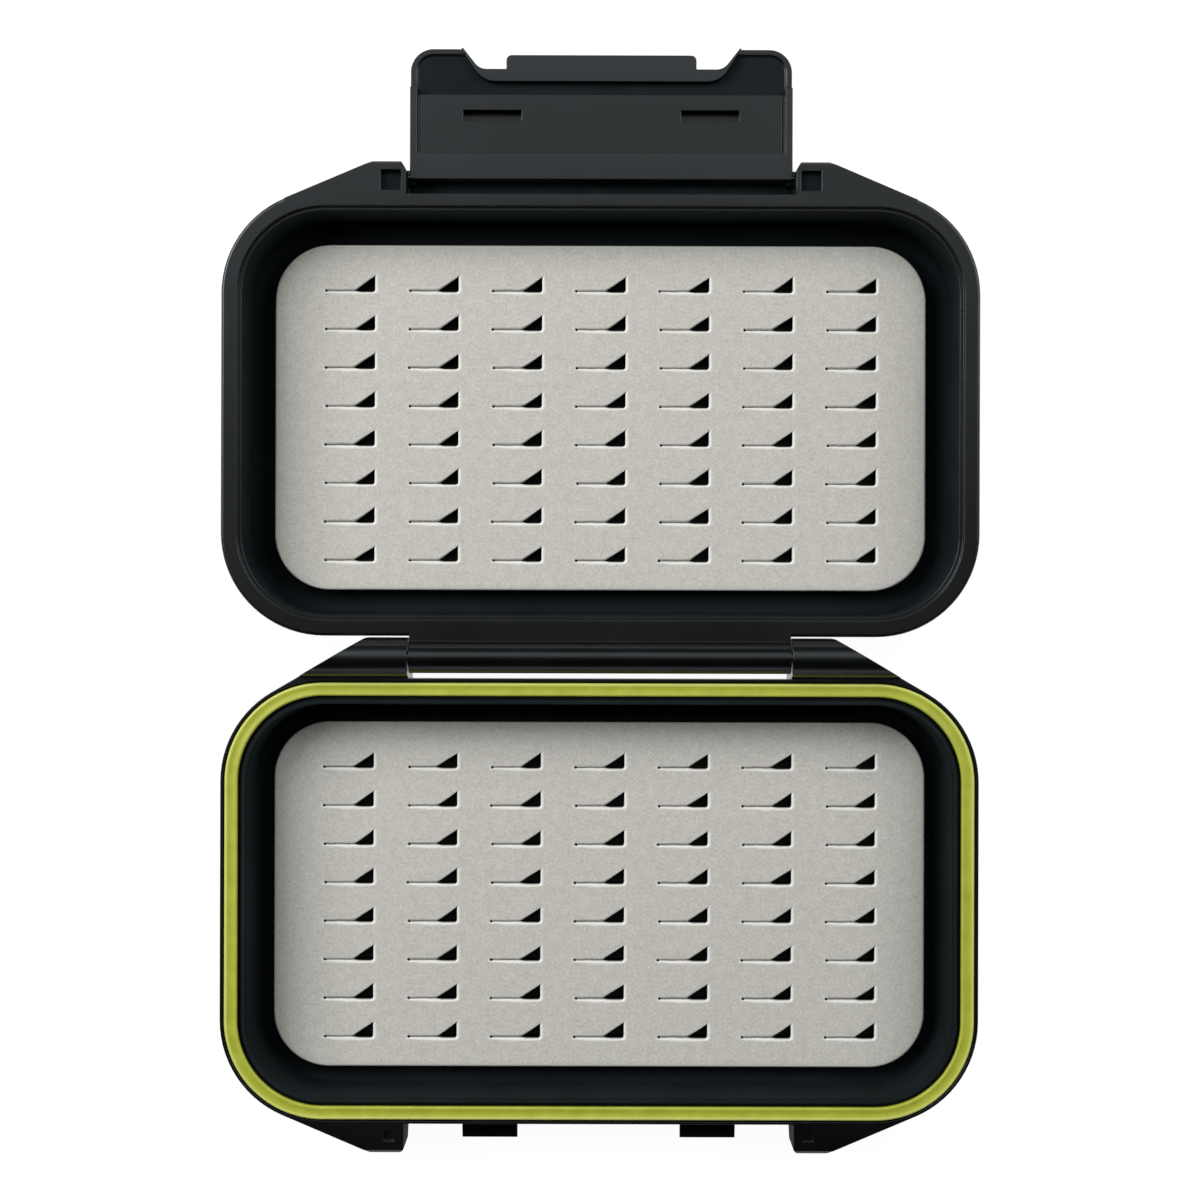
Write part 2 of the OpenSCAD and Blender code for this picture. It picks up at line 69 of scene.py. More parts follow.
print("construction model:", [[round(c / MM, 2) for c in corner] for corner in cad_box], "mm")

# %% [markdown]
# ## Camera
#
# The photograph looks straight down on the open box. How much the deep parts shrink towards the middle
# tells the distance: the lens stands about 435 mm over the rims. Its focal length then follows from the
# width of the view at the rims, as the sensor's half width over the view's half width, times the distance.
# In the photograph the box lies a sixth of a degree askew, so the camera is turned by that much.

# %% Camera over the two rims
RIM_HEIGHT = 17.5 * MM
LENS_OVER_RIM = 435 * MM
VIEW_WIDTH_AT_RIM = 197.4 * MM
VIEW_CENTRE_Y = 49.7 * MM
VIEW_TURN = math.radians(0.16)
SENSOR = 36

camera_data = bpy.data.cameras.new("camera")
camera_data.sensor_width = SENSOR
camera_data.lens = SENSOR * LENS_OVER_RIM / VIEW_WIDTH_AT_RIM
camera = bpy.data.objects.new("camera", camera_data)
camera.location = (0, VIEW_CENTRE_Y, RIM_HEIGHT + LENS_OVER_RIM)
camera.rotation_euler = (0, 0, VIEW_TURN)
bpy.context.scene.collection.objects.link(camera)
bpy.context.scene.camera = camera
print("lens", round(camera_data.lens, 2), "mm")

# %% [markdown]
# ## Materials: two helpers
#
# A material is a small network of nodes. One function turns an sRGB hex value, as a colour picker gives
# it, to the linear numbers that the shader needs. Another adds a node with its settings and its links,
# so that each material below reads from top to bottom as the finish it stands for.

# %% Colour and node helpers
def linear(colour):
    """An sRGB hex colour as linear RGBA: ((c + 0.055) / 1.055) to the power 2.4, or c / 12.92 where dark."""
    c = np.array([int(colour[i:i + 2], 16) for i in (1, 3, 5)]) / 255
    light = np.where(c <= 0.04045, c / 12.92, ((c + 0.055) / 1.055) ** 2.4)
    return (*light.tolist(), 1.0)


def add_node(tree, kind, sockets=None, stops=(), **settings):
    """Adds a node: its settings, its sockets' values or links, and a ramp's stops as (place, hex colour)."""
    node = tree.nodes.new(kind)
    for name, value in settings.items():
        setattr(node, name, value)
    for name, value in (sockets or {}).items():
        if isinstance(value, bpy.types.NodeSocket):
            tree.links.new(value, node.inputs[name])
        else:
            node.inputs[name].default_value = value
    for i, (place, colour) in enumerate(stops):
        ramp = node.color_ramp.elements
        stop = ramp[i] if i < len(ramp) else ramp.new(place)
        stop.position = place
        stop.color = linear(colour)
    return node


def blank_material(name):
    """A new material's empty node tree, with the place on the piece as its pattern coordinate."""
    material = bpy.data.materials.new(name)
    material.use_nodes = True
    tree = material.node_tree
    tree.nodes.clear()
    place = add_node(tree, "ShaderNodeTexCoord").outputs["Object"]
    return material, tree, place


# %% [markdown]
# ## Moulded black ABS
#
# Shells and latch are injection-moulded ABS. The steel mould was spark-eroded, which leaves the plastic
# with a fine, even grain: it looks satin, not glossy, and edges show as soft light lines. The grain is
# really about 0.05 mm. That is too fine to show here, so it is drawn at 0.3 mm. A second, very low wave
# stands for the sink of a moulded wall, and keeps the large faces from looking computed.
#
# Inside the trays, round the latch's tip and in the lugs' pockets the mould was left coarser, as no hand rubs
# there. The same plastic is matt in these places and mirrors next to nothing of the light round it. Its
# colour there is a lighter, faintly blue black, which is painted light: an even tone that stands in for the
# soft light in these recesses and shaded trays. The latch's lip and frame are the other way round: a thumb
# pulls them each time the box is opened, which has rubbed them a little shinier.

# %% Black ABS
def black_abs(name, colours, roughness, mirror, grain_depth):
    """ABS: noise bumps of 0.3 mm grain, as deep as given, on a body that drifts between two near-blacks.
    `mirror` is the specular level: 0.5 for a clean moulding, less for a coarse one, more for a rubbed one."""
    material, tree, place = blank_material(name)
    cloud = add_node(tree, "ShaderNodeTexNoise", {"Vector": place, "Scale": 1 / (11 * MM), "Detail": 4.0})
    colour = add_node(tree, "ShaderNodeValToRGB", {"Fac": cloud.outputs["Fac"]},
                      stops=[(0.35, colours[0]), (0.65, colours[1])])
    gloss = add_node(tree, "ShaderNodeMapRange", {
        "Value": cloud.outputs["Fac"], "From Min": 0.3, "From Max": 0.7,
        "To Min": roughness[0], "To Max": roughness[1],
    })
    grain = add_node(tree, "ShaderNodeTexNoise", {"Vector": place, "Scale": 1 / (0.3 * MM), "Detail": 2.0})
    spark = add_node(tree, "ShaderNodeBump", {"Height": grain.outputs["Fac"], "Strength": 0.3,
                                              "Distance": grain_depth})
    sink = add_node(tree, "ShaderNodeBump", {"Height": cloud.outputs["Fac"], "Strength": 0.3,
                                             "Distance": 0.06 * MM, "Normal": spark.outputs["Normal"]})
    shader = add_node(tree, "ShaderNodeBsdfPrincipled", {
        "Base Color": colour.outputs["Color"], "Roughness": gloss.outputs["Result"],
        "IOR": 1.53, "Specular IOR Level": mirror, "Specular Tint": linear("#F0F9FF"),
        "Normal": sink.outputs["Normal"],
    })
    add_node(tree, "ShaderNodeOutputMaterial", {"Surface": shader.outputs["BSDF"]})
    return material


grained_abs = black_abs("spark_grained_black_abs", ("#040505", "#070809"), (0.25, 0.28), 0.5, 0.012 * MM)
rubbed_abs = black_abs("rubbed_black_abs", ("#040505", "#070809"), (0.22, 0.25), 0.62, 0.008 * MM)
# The matt finish's lighter, faintly blue black is painted light: an even tone for the soft light in the
# shaded trays and recesses.
matt_painted_light_abs = black_abs("matt_black_abs_painted_light", ("#181E20", "#1D2325"), (0.62, 0.7), 0.03, 0.03 * MM)
print("materials", grained_abs.name, rubbed_abs.name, matt_painted_light_abs.name)

# %% [markdown]
# ## Lime rubber
#
# The seal is a soft rubber cord of pressed silicone. Its colour goes right through, so it stays strong in the
# channel. Along the two beads the colour is paler, which is a painted highlight: the light that the beads'
# rounded edges catch, and the mesh says where, as an attribute. Silicone picks up fine dust, which makes it a
# little paler in patches of a few millimetres.

# %% Seal rubber
BEAD_HIGHLIGHT = "bead_highlight"


def pressed_lime_rubber():
    """Silicone rubber: a strong lime body with a painted highlight on the beads, satin, with a fine skin of
    0.4 mm bumps.
    """
    material, tree, place = blank_material("pressed_lime_rubber")
    patches = add_node(tree, "ShaderNodeTexNoise", {"Vector": place, "Scale": 1 / (2.5 * MM), "Detail": 6.0})
    body = add_node(tree, "ShaderNodeValToRGB", {"Fac": patches.outputs["Fac"]},
                    stops=[(0.3, "#9DA52B"), (0.7, "#ADB53C")])
    # The beads take a painted highlight: a paler lime, as much as the attribute says.
    bead = add_node(tree, "ShaderNodeAttribute", attribute_name=BEAD_HIGHLIGHT)
    colour = add_node(tree, "ShaderNodeMixRGB", {"Fac": bead.outputs["Fac"], "Color1": body.outputs["Color"],
                                                 "Color2": linear("#DDE487")})
    skin = add_node(tree, "ShaderNodeTexNoise", {"Vector": place, "Scale": 1 / (0.4 * MM), "Detail": 2.0})
    bump = add_node(tree, "ShaderNodeBump", {"Height": skin.outputs["Fac"], "Strength": 0.25,
                                             "Distance": 0.03 * MM})
    shader = add_node(tree, "ShaderNodeBsdfPrincipled", {
        "Base Color": colour.outputs["Color"], "Roughness": 0.45, "IOR": 1.43,
        "Normal": bump.outputs["Normal"],
    })
    add_node(tree, "ShaderNodeOutputMaterial", {"Surface": shader.outputs["BSDF"]})
    return material


lime_rubber = pressed_lime_rubber()
print("material", lime_rubber.name)

# %% [markdown]
# ## Skinned foam
#
# The pads are closed-cell foam with a warm light grey skin. The skin shows the cells just under it as a matt,
# slightly blotched grain. Each die cut takes a painted highlight: its rolled edge is drawn paler, most on the
# sides that face the lamps. Below the skin the foam is drawn near black, which makes the openings and the
# pad's sides dark. The mesh carries how near each point is to a cut as an attribute, and the height gives
# skin or the near black below it.

# %% Foam
FOAM_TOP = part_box("base_foam")[1].z
SKIN = 0.7 * MM
CUT_HIGHLIGHT = "cut_highlight"


def skinned_foam():
    """Foam: grain of 0.45 mm and blotches of 1.6 mm on the skin, a painted highlight at the cuts, near black
    below the skin.
    """
    material, tree, place = blank_material("skinned_foam")
    blotch = add_node(tree, "ShaderNodeTexNoise", {"Vector": place, "Scale": 1 / (1.6 * MM), "Detail": 3.0})
    grain = add_node(tree, "ShaderNodeTexNoise", {"Vector": place, "Scale": 1 / (0.45 * MM), "Detail": 3.0,
                                                  "Roughness": 0.7})
    tone = add_node(tree, "ShaderNodeMath", {0: blotch.outputs["Fac"], 1: 0.35, 2: grain.outputs["Fac"]},
                    operation="MULTIPLY_ADD")
    skin = add_node(tree, "ShaderNodeValToRGB", {"Fac": tone.outputs["Value"]},
                    stops=[(0.4, "#B0AFA8"), (0.675, "#C4C2BB"), (0.95, "#D5D3CC")])
    # The cuts take a painted highlight: the skin is mixed towards a pale grey as far as the attribute says.
    edge = add_node(tree, "ShaderNodeAttribute", attribute_name=CUT_HIGHLIGHT)
    highlighted = add_node(tree, "ShaderNodeMixRGB", {"Fac": edge.outputs["Fac"], "Color1": skin.outputs["Color"],
                                                  "Color2": linear("#EFEEEA")})
    height = add_node(tree, "ShaderNodeSeparateXYZ", {"Vector": place})
    depth = add_node(tree, "ShaderNodeMapRange", {"Value": height.outputs["Z"], "From Min": FOAM_TOP - SKIN,
                                                  "From Max": FOAM_TOP - SKIN / 2})
    # Below the skin the foam is drawn near black.
    colour = add_node(tree, "ShaderNodeMixRGB", {"Fac": depth.outputs["Result"],
                                                 "Color1": linear("#121110"),
                                                 "Color2": highlighted.outputs["Color"]})
    cells = add_node(tree, "ShaderNodeBump", {"Height": grain.outputs["Fac"], "Strength": 0.5,
                                              "Distance": 0.1 * MM})
    shader = add_node(tree, "ShaderNodeBsdfPrincipled", {
        "Base Color": colour.outputs["Color"], "Roughness": 0.9, "IOR": 1.4, "Specular IOR Level": 0.3,
        "Normal": cells.outputs["Normal"],
    })
    add_node(tree, "ShaderNodeOutputMaterial", {"Surface": shader.outputs["BSDF"]})
    return material


grey_foam = skinned_foam()
print("material", grey_foam.name)

# %% [markdown]
# ## Adhesive film and pin steel
#
# A black adhesive film holds each pad to its tray. It shows only as the bottom of the openings: tacky, a
# little glossy and finely creased. The hinge pin is drawn stainless wire. Drawing pulls fine grooves
# along it, so its noise is stretched along the pin and its shine breaks into lengthwise streaks.

# %% Film and steel
def black_adhesive_film():
    """Acrylic adhesive on black film: satin, with creases of about 1 mm."""
    material, tree, place = blank_material("black_adhesive_film")
    crease = add_node(tree, "ShaderNodeTexNoise", {"Vector": place, "Scale": 1 / (1 * MM), "Detail": 4.0})
    colour = add_node(tree, "ShaderNodeValToRGB", {"Fac": crease.outputs["Fac"]},
                      stops=[(0.3, "#0D0D0E"), (0.7, "#171819")])
    bump = add_node(tree, "ShaderNodeBump", {"Height": crease.outputs["Fac"], "Strength": 0.4,
                                             "Distance": 0.05 * MM})
    shader = add_node(tree, "ShaderNodeBsdfPrincipled", {
        "Base Color": colour.outputs["Color"], "Roughness": 0.5, "IOR": 1.48,
        "Normal": bump.outputs["Normal"],
    })
    add_node(tree, "ShaderNodeOutputMaterial", {"Surface": shader.outputs["BSDF"]})
    return material


def drawn_steel():
    """Stainless wire: metal with grooves 0.05 mm apart across the pin and 4 mm long along it."""
    material, tree, place = blank_material("drawn_steel")
    stretched = add_node(tree, "ShaderNodeMapping", {"Vector": place, "Scale": (0.05 / 4, 1, 1)})
    grooves = add_node(tree, "ShaderNodeTexNoise", {"Vector": stretched.outputs["Vector"],
                                                    "Scale": 1 / (0.05 * MM), "Detail": 3.0})
    colour = add_node(tree, "ShaderNodeValToRGB", {"Fac": grooves.outputs["Fac"]},
                      stops=[(0.3, "#A4A7AA"), (0.7, "#C3C6C9")])
    bump = add_node(tree, "ShaderNodeBump", {"Height": grooves.outputs["Fac"], "Strength": 0.3,
                                             "Distance": 0.01 * MM})
    shader = add_node(tree, "ShaderNodeBsdfPrincipled", {
        "Base Color": colour.outputs["Color"], "Metallic": 1.0, "Roughness": 0.28,
        "Normal": bump.outputs["Normal"],
    })
    add_node(tree, "ShaderNodeOutputMaterial", {"Surface": shader.outputs["BSDF"]})
    return material


film = black_adhesive_film()
steel = drawn_steel()
print("materials", film.name, steel.name)

# %% [markdown]
# ## Surfaces from arrays
#
# A new piece is a grid of points: one direction runs round its section, the other along its path. Numpy
# works out all the points at once, and the faces follow from the grid's own numbering. A loop that goes
# round the section counter-clockwise, carried along a path that goes round the piece counter-clockwise,
# has all its faces pointing out.

# %% Grid, mesh and path helpers
def ring_faces(rings, points, closed=False):
    """Quads between neighbouring rings of a (rings x points) grid whose points run round in a circle."""
    ring = np.arange(rings if closed else rings - 1)[:, None]
    point = np.arange(points)[None, :]
    here, after = ring * points, (ring + 1) % rings * points
    beside = (point + 1) % points
    return np.stack([here + point, after + point, after + beside, here + beside], axis=-1).reshape(-1, 4)


def make_piece(name, points, faces, finish, body):
    """A smooth-shaded mesh from arrays, in the frame's own metres, riding on a body of the fly box."""
    mesh = bpy.data.meshes.new(name)
    mesh.from_pydata(points.reshape(-1, 3).tolist(), [], faces.tolist())
    mesh.polygons.foreach_set("use_smooth", np.ones(len(mesh.polygons), dtype=bool))
    mesh.materials.append(finish)
    piece = bpy.data.objects.new(name, mesh)
    bpy.context.scene.collection.objects.link(piece)
    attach(piece, body)
    return piece


def rounded_path(width, depth, radius, steps):
    """Round a rounded rectangle: corner centres and outward directions, at 4 x (steps + 1) stops."""
    angle = np.linspace(0, math.pi / 2, steps + 1)[None, :] + np.arange(4)[:, None] * math.pi / 2
    side = np.array([[1, 1], [-1, 1], [-1, -1], [1, -1]])
    centre = np.repeat(side * [width / 2 - radius, depth / 2 - radius], steps + 1, axis=0)
    outward = np.stack([np.cos(angle), np.sin(angle)], axis=-1).reshape(-1, 2)
    return centre, outward


def swept(section, width, depth, radius, steps):
    """Carries a section of [inset, height] round the outline: place = centre + (radius - inset) x outward."""
    centre, outward = rounded_path(width, depth, radius, steps)
    reach = radius - section[None, :, 0, None]
    flat = centre[:, None, :] + reach * outward[:, None, :]
    height = np.broadcast_to(section[None, :, 1, None], (*flat.shape[:2], 1))
    return np.concatenate([flat, height], axis=-1)


print("a closed loop of 4 rings of 6 points has", len(ring_faces(4, 6, closed=True)), "faces")

# %% [markdown]
# ## Rim seal
#
# The seal sits in a groove of the base's rim and stands just proud of the black lips beside it. Seen close
# up it is no plain strip: two narrow beads run along its edges and a shallow channel lies between them, so
# that the closed lid presses on two lines. It could be a curve with a bevel profile, but a swept array
# keeps the section's own millimetres, and its beads stay even round the corners.
#
# The photograph shows a broad black lip outside the seal. So the outer edge is drawn about 0.2 mm further
# in than the solid's, which leaves that much of the groove open.

# %% Rim seal
SHELL_SIZE = (125 * MM, 73.4 * MM)
SHELL_CORNER = 17 * MM
CORNER_STEPS = 32
SEAL_OUTER, SEAL_INNER = 0.72 * MM, 2.9 * MM
SECTION_STEPS = 40
BEAD = 0.34 * MM
CREST = 0.8
# How strong the painted highlight is on the outer and on the inner bead, and how wide it is.
OUTER_HIGHLIGHT, INNER_HIGHLIGHT = 0.6, 0.1
HIGHLIGHT_WIDTH = 0.22 * MM
CHANNEL, CHANNEL_POWER = 0.14 * MM, 0.6


def seal_section():
    """The seal's section: a flat foot, and a top that falls off over BEAD at both edges and in the channel.
    The edges fall as a quarter circle, the channel as a raised cosine with a broad floor."""
    low, high = (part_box("rim_gasket")[i].z for i in (0, 1))
    angle = np.linspace(0, math.pi, SECTION_STEPS + 1)
    inset = SEAL_OUTER + (SEAL_INNER - SEAL_OUTER) * (1 - np.cos(angle)) / 2
    edge = np.minimum(inset - SEAL_OUTER, SEAL_INNER - inset) / BEAD
    shoulder = BEAD * (1 - np.sqrt(1 - (1 - np.clip(edge, 0, 1)) ** 2))
    across = np.clip((inset - SEAL_OUTER - BEAD) / (SEAL_INNER - SEAL_OUTER - 2 * BEAD), 0, 1)
    dip = CHANNEL * (0.5 - 0.5 * np.cos(2 * math.pi * across)) ** CHANNEL_POWER
    top = np.stack([inset, high - shoulder - dip], axis=-1)
    foot = np.array([[SEAL_INNER, low], [SEAL_OUTER, low]])
    return np.concatenate([top, foot])


def bead_highlight_share(inset):
    """The painted highlight along the seal: a bell over each bead, exp(-(distance / width) squared), as high
    as given for the outer or the inner bead, with its middle at CREST of the bead's width from the seal's
    edge."""
    outer = np.exp(-((inset - SEAL_OUTER - BEAD * CREST) / HIGHLIGHT_WIDTH) ** 2)
    inner = np.exp(-((SEAL_INNER - BEAD * CREST - inset) / HIGHLIGHT_WIDTH) ** 2)
    return OUTER_HIGHLIGHT * outer + INNER_HIGHLIGHT * inner


section = seal_section()
seal_points = swept(section, *SHELL_SIZE, SHELL_CORNER, CORNER_STEPS)
seal = make_piece("rim_seal", seal_points, ring_faces(*seal_points.shape[:2], closed=True),
                  lime_rubber, "base")
seal_highlight = np.tile(bead_highlight_share(section[:, 0]), len(seal_points))
seal.data.attributes.new(BEAD_HIGHLIGHT, "FLOAT", "POINT").data.foreach_set("value", seal_highlight)
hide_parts("rim_gasket")
print("rim seal:", len(seal.data.polygons), "faces")

# %% [markdown]
# ## Foam pads
#
# Each pad is a die-cut sheet. In every slit a thin blade made a straight cut, and a fin-shaped punch opened
# its right end so that the hook's bend can drop in. A boolean could cut 56 openings, but it leaves ragged
# faces and sharp rims. Here the pad is laid out as tiles instead: each tile's opening is an outline of the
# same number of points as the tile's own edge, and rings run from the one to the other. The first rings
# roll the skin over the cut, the last meet the neighbour's. A border carries the outer tiles' edge to the
# rounded outline and down the side.
#
# No two hand-loaded slits look alike, so each opening's length, height and fin differ a little, from a
# seeded generator that gives the same pad on every run.

# %% Slit openings
TILE = np.array([14.1, 6.5]) * MM
COLUMNS, ROWS = 7, 8
ALONG, UP = 24, 12
CORNER_POINTS, FIN_POINTS = 4, 11
LENGTH_VARIES, FIN_VARIES, CUT_VARIES = 0.02, 0.05, 0.25
FIN_POWER, POWER_VARIES = 1.15, 0.15
CUT_WIDTH = 0.3 * MM
CUT_CLOSED = 0.03 * MM
CUT_BELOW = 1.35 * MM
CUT_WAVE = 0.03 * MM
END_DOT = 0.22 * MM
SLIT_RIGHT, SLIT_LENGTH = 4.2 * MM, 8.2 * MM
FIN_LENGTH, FIN_HEIGHT = 3.5 * MM, 2.55 * MM
FIN_CORNER = 0.45 * MM
FIN_SAG = 0.15 * MM


def rectangle_loop(size, along, up):
    """Points round a rectangle, counter-clockwise from its lower left corner, even on each side."""
    a, b = np.linspace(-1, 1, along, endpoint=False), np.linspace(-1, 1, up, endpoint=False)
    x = np.concatenate([a, np.ones(up), -a, -np.ones(up)])
    y = np.concatenate([-np.ones(along), b, np.ones(along), -b])
    return np.stack([x * size[0] / 2, y * size[1] / 2], axis=-1)


def slit_loop(vary, cut_width):
    """Outlines of the openings, (openings x points x 2), point for point with a tile's edge. `vary` holds six
    numbers from -1 to 1 for each opening.
    From the lower left: the lower edge, which waves a little and sags under the fin, the round corner and
    upright side, the fin, whose height falls from its tip as (distance to its root) to a power, the cut's
    upper edge, and round the small hole that stops the cut from tearing on."""
    right = np.full((len(vary), 1), SLIT_RIGHT)
    left = right - SLIT_LENGTH * (1 + LENGTH_VARIES * vary[:, 0])
    fin = FIN_LENGTH * (1 + FIN_VARIES * vary[:, 1])
    height = FIN_HEIGHT * (1 + FIN_VARIES * vary[:, 2])
    power = FIN_POWER + POWER_VARIES * vary[:, 3]
    half = cut_width / 2 * (1 + CUT_VARIES * vary[:, 4])
    dot = np.arcsin(half / END_DOT)
    neck = left + END_DOT * np.cos(dot)

    def middle(x):
        """The cut's own line: one and a half waves of CUT_WAVE from the neck to the fin's root."""
        share = np.clip((x - neck) / (right - fin - neck), 0, 1)
        return -CUT_BELOW + CUT_WAVE * np.sin(share * 3 * math.pi) * vary[:, 5]

    def sag(x):
        """How far the fin's floor lies below the cut, in the first third of the fin by 3t^2 - 2t^3."""
        t = np.clip((x - right + fin) / (fin / 3), 0, 1)
        return FIN_SAG * (3 * t ** 2 - 2 * t ** 3)

    run = np.linspace(0, 1, ALONG, endpoint=False)[None]
    x = neck + (right - FIN_CORNER - neck) * run
    lower = [x, middle(x) - half - sag(x)]

    floor_y = -CUT_BELOW - half - FIN_SAG
    turn = np.linspace(0, math.pi / 2, CORNER_POINTS + 1)[None, :-1]
    rise = np.linspace(0, 1, UP - CORNER_POINTS, endpoint=False)[None]
    corner = [right - FIN_CORNER + FIN_CORNER * np.sin(turn), floor_y + FIN_CORNER * (1 - np.cos(turn))]
    upright = [right + 0 * rise, floor_y + FIN_CORNER + (height - FIN_CORNER + FIN_SAG) * rise]

    fall = np.linspace(0, 1, FIN_POINTS, endpoint=False)[None]
    back = np.linspace(0, 1, ALONG - FIN_POINTS, endpoint=False)[None]
    slope = [right - fin * fall, half - CUT_BELOW + (height - 2 * half) * (1 - fall) ** power]
    x = right - fin + (neck - right + fin) * back
    upper = [x, middle(x) + half]

    bend = dot + (2 * math.pi - 2 * dot) * np.linspace(0, 1, UP, endpoint=False)[None]
    end = [left + END_DOT * np.cos(bend), -CUT_BELOW + END_DOT * np.sin(bend)]

    sides = [lower, corner, upright, slope, upper, end]
    return np.stack([np.concatenate([side[axis] for side in sides], axis=1) for axis in (0, 1)], axis=-1)


print("an opening has", slit_loop(np.zeros((1, 6, 1)), CUT_WIDTH).shape[1], "points")

# %% [markdown]
# The rings now only need their heights. The skin dips 0.26 mm as it rolls into a cut. Below that the foam
# springs back behind the blade and closes the thin cut, while the punched fin goes straight down to the film.
# The attribute for the pale cut is a painted highlight: 0.6 at the cut, 1 on the roll beside it, and it fades
# out 0.65 mm away. It is strongest on the right and the lower side of an opening, whose rolled edges face the
# light, and the border's rolled edge takes a little of it too.

# %% Foam pads
PAD_CORNER = 9.4 * MM
ROLL_AWAY = np.array([0, 0.08, 0.2, 0.38, 0.65]) * MM
ROLL_DOWN = np.array([0.26, 0.12, 0.035, 0.008, 0]) * MM
# The pale shares in this block are painted highlight: on the roll beside each cut, strongest on the sides of
# an opening that face the light, and on the pad's rolled outer edge.
ROLL_HIGHLIGHT = np.array([0.6, 1, 1, 0.55, 0])
CLOSED_DOWN = 0.5 * MM
SIDE_HIGHLIGHT = np.repeat([0.8, 1, 0.45, 0.25, 0.5], [ALONG, UP, FIN_POINTS, ALONG - FIN_POINTS, UP])
SPREAD = np.array([0.4, 0.7, 1])
EDGE_ROLL = 0.5 * MM
BORDER_HIGHLIGHT = np.array([0, 0, 0, 0, 0.3, 0.4, 0.2, 0, 0, 0, 0])


def tile_rings(rng, bottom, top):
    """All tiles as (tiles x rings x points x 3), from the underside's edge up through the opening and out
    over the skin to the tile's edge, with each point's share of the painted highlight at the cut, (rings x
    points)."""
    vary = rng.uniform(-1, 1, (COLUMNS * ROWS, 6, 1))
    opening, closed = slit_loop(vary, CUT_WIDTH), slit_loop(vary, CUT_CLOSED)
    edge = np.broadcast_to(rectangle_loop(TILE, ALONG, UP), opening.shape)
    way = edge - opening
    step = way / np.linalg.norm(way, axis=-1, keepdims=True)
    wall = [(edge, bottom, 0)] + [(closed, z, 0) for z in (bottom, top - 2 * SKIN, top - CLOSED_DOWN)]
    roll = [(opening + step * d, top - z, pale) for d, z, pale in zip(ROLL_AWAY, ROLL_DOWN, ROLL_HIGHLIGHT)]
    skin = [(opening + way * share, top, 0) for share in SPREAD]
    rings = wall + roll + skin
    column, row = np.meshgrid(np.arange(COLUMNS), np.arange(ROWS))
    middle = np.stack([column.ravel() - (COLUMNS - 1) / 2, row.ravel() - (ROWS - 1) / 2], axis=-1) * TILE
    flat = np.stack([ring[0] for ring in rings], axis=1) + middle[:, None, None, :]
    height = np.array([ring[1] for ring in rings])[None, :, None, None]
    points = np.concatenate([flat, np.broadcast_to(height, (*flat.shape[:3], 1))], axis=-1)
    return points, np.array([ring[2] for ring in rings])[:, None] * SIDE_HIGHLIGHT


def border_rings(size, bottom, top):
    """The border as (rings x points x 3): the tiles' outer edge, pushed out to the rounded outline, rolled
    over a quarter circle, down the side and back under. Points beyond a corner's centre go onto its arc."""
    inner = rectangle_loop(TILE * [COLUMNS, ROWS], ALONG * COLUMNS, UP * ROWS)
    outline = inner * size / (TILE * [COLUMNS, ROWS])
    centre = np.sign(outline) * np.minimum(np.abs(outline), size / 2 - PAD_CORNER)
    from_centre = outline - centre
    in_corner = np.all(np.abs(outline) > size / 2 - PAD_CORNER, axis=-1, keepdims=True)
    length = np.linalg.norm(from_centre, axis=-1, keepdims=True)
    outward = from_centre / length
    rim = np.where(in_corner, centre + PAD_CORNER * outward, outline)
    turn = np.linspace(0, math.pi / 2, 5)
    curl = [(EDGE_ROLL * (1 - math.sin(t)), EDGE_ROLL * (1 - math.cos(t))) for t in turn]
    spread = [(inner + (rim - outward * EDGE_ROLL - inner) * share, top) for share in (0, 0.35, 0.7)]
    roll = [(rim - outward * inset, top - drop) for inset, drop in curl]
    rings = spread + roll + [(rim, top - 2 * SKIN), (rim, bottom), (inner, bottom)]
    flat = np.stack([ring[0] for ring in rings])
    height = np.array([ring[1] for ring in rings])[:, None, None]
    return np.concatenate([flat, np.broadcast_to(height, (*flat.shape[:2], 1))], axis=-1)


def foam_pad(name, node, body, seed):
    """A pad in the place of its CAD solid: tiles and border, welded where they meet."""
    low, high = (np.array(corner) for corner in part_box(node))
    bottom, top = low[2], high[2]
    tiles, pale = tile_rings(np.random.default_rng(seed), bottom, top)
    border = border_rings(high[:2] - low[:2], bottom, top)
    count, rings, around = tiles.shape[:3]
    tile_faces = ring_faces(rings, around)[None] + (np.arange(count) * rings * around)[:, None, None]
    border_faces = ring_faces(*border.shape[:2]) + count * rings * around
    points = np.concatenate([tiles.reshape(-1, 3), border.reshape(-1, 3)])
    points[:, :2] += (low[:2] + high[:2]) / 2
    pad = make_piece(name, points, np.concatenate([tile_faces.reshape(-1, 4), border_faces]),
                     grey_foam, body)
    cut_highlight_share = np.zeros(len(points))
    cut_highlight_share[:count * rings * around] = np.tile(pale.ravel(), count)
    cut_highlight_share[count * rings * around:] = np.repeat(BORDER_HIGHLIGHT, border.shape[1])
    pad.data.attributes.new(CUT_HIGHLIGHT, "FLOAT", "POINT").data.foreach_set("value", cut_highlight_share)
    work = bmesh.new()
    work.from_mesh(pad.data)
    bmesh.ops.remove_doubles(work, verts=work.verts, dist=0.001 * MM)
    work.to_mesh(pad.data)
    work.free()
    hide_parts(node)
    print(name, len(pad.data.polygons), "faces")


foam_pad("base_foam_pad", "base_foam", "base", seed=11)
foam_pad("lid_foam_pad", "lid_foam", "lid", seed=23)

# %% [markdown]
# ## Shells and latch
#
# The construction model has every wall, lug, slot and bore in its place, but its edges are knife sharp, and
# no moulded edge is. Each shell is copied, its loose triangles are welded and its flat faces joined, and a
# narrow bevel then rounds every edge by the tenth of a millimetre or so that a mould leaves. The bevel is
# what draws the light lines along the rims. Weighted normals keep the large faces flat beside it.
#
# Where the plastic is matt, with the painted light of its lighter colour, or rubbed is a matter of place.
# Each function below takes points, in the frame's metres, and says which of them lie there.

